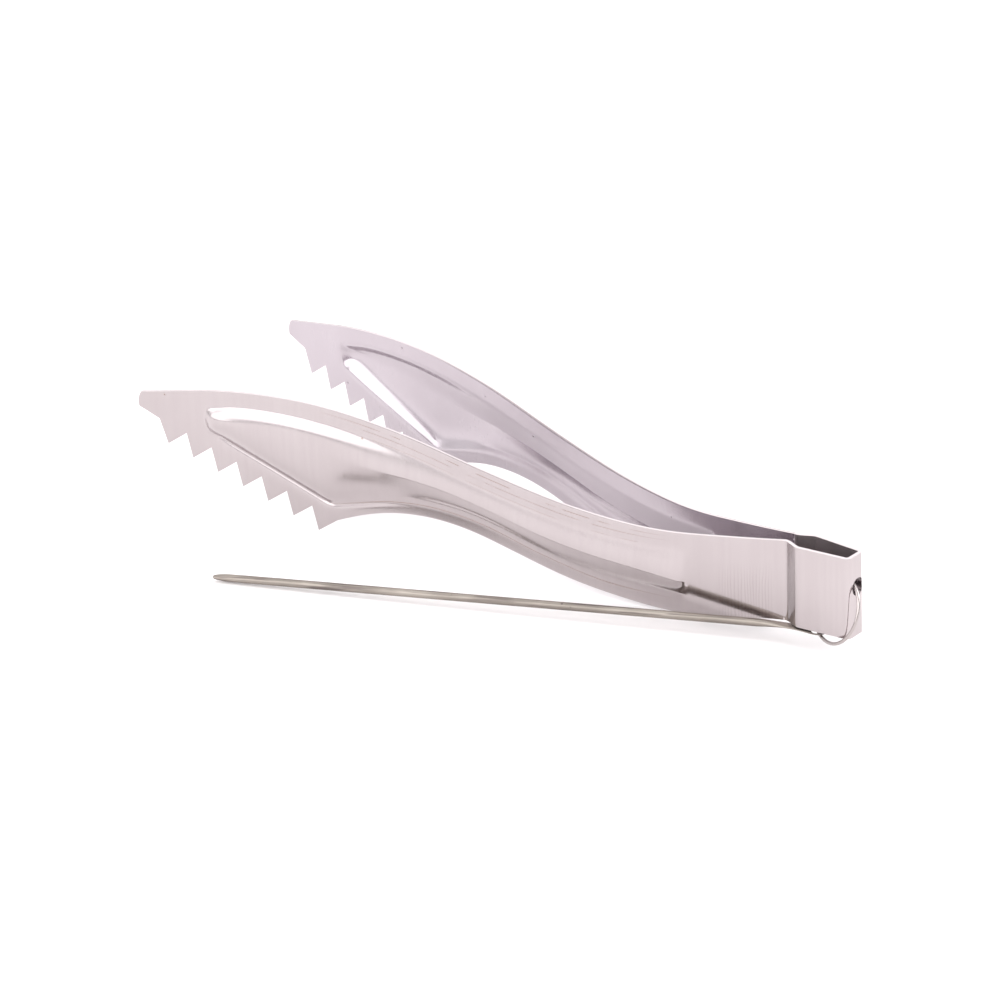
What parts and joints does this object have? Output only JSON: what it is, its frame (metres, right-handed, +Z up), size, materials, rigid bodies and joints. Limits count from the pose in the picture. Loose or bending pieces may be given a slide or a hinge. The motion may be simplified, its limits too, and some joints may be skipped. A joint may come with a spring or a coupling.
{
  "type": "ice tongs",
  "caption": "Spring tongs bent from one sheet strip, with toothed jaws, pressed stiffening bosses, a square spring bow and a loose pick on a wire ring.",
  "frame": {"origin": "on the outer face of the back plate, on the middle plane of the tongs, in the flat land above the ring hole", "axes": "+X out of the back plate, away from the jaws; +Z up across the width of the strip; the left arm is on -Y"},
  "size_m": [0.2034, 0.0851, 0.0365],
  "materials": {
    "strip_steel": "polished stainless sheet with fine scratches along its edges",
    "ring_wire": "bright drawn wire",
    "pick_wire": "dull drawn wire with dark streaks"
  },
  "bodies": {
    "bow": {"back_bow": "strip_steel"},
    "left_arm": {"left_arm": "strip_steel"},
    "right_arm": {"right_arm": "strip_steel"},
    "ring": {"hanging_ring": "ring_wire"},
    "pick": {"pick": "pick_wire"}
  },
  "joints": [
    {"name": "left_arm_flex", "type": "hinge", "parent": "bow", "child": "left_arm", "pos_m": [-0.01885, -0.0023, -0.0067], "axis": [0, 0, -1], "range_deg": [0, 8.9], "stiffness_Nm_per_rad": 2},
    {"name": "right_arm_flex", "type": "hinge", "parent": "bow", "child": "right_arm", "pos_m": [-0.01885, 0.0023, -0.0067], "axis": [0, 0, 1], "range_deg": [0, 8.9], "stiffness_Nm_per_rad": 2},
    {"name": "ring_turn", "type": "hinge", "parent": "bow", "child": "ring", "pos_m": [-0.00463, -0.00156, -0.01078], "axis": [0.343, 0.8701, -0.354], "range_deg": [-40, 0]},
    {"name": "pick_swing", "type": "hinge", "parent": "ring", "child": "pick", "pos_m": [-0.00932, -0.00243, -0.01746], "axis": [0, 0, 1], "range_deg": [-3, 60]}
  ],
  "couplings": [
    {"joint": "right_arm_flex", "follows": "left_arm_flex", "ratio": 1}
  ]
}
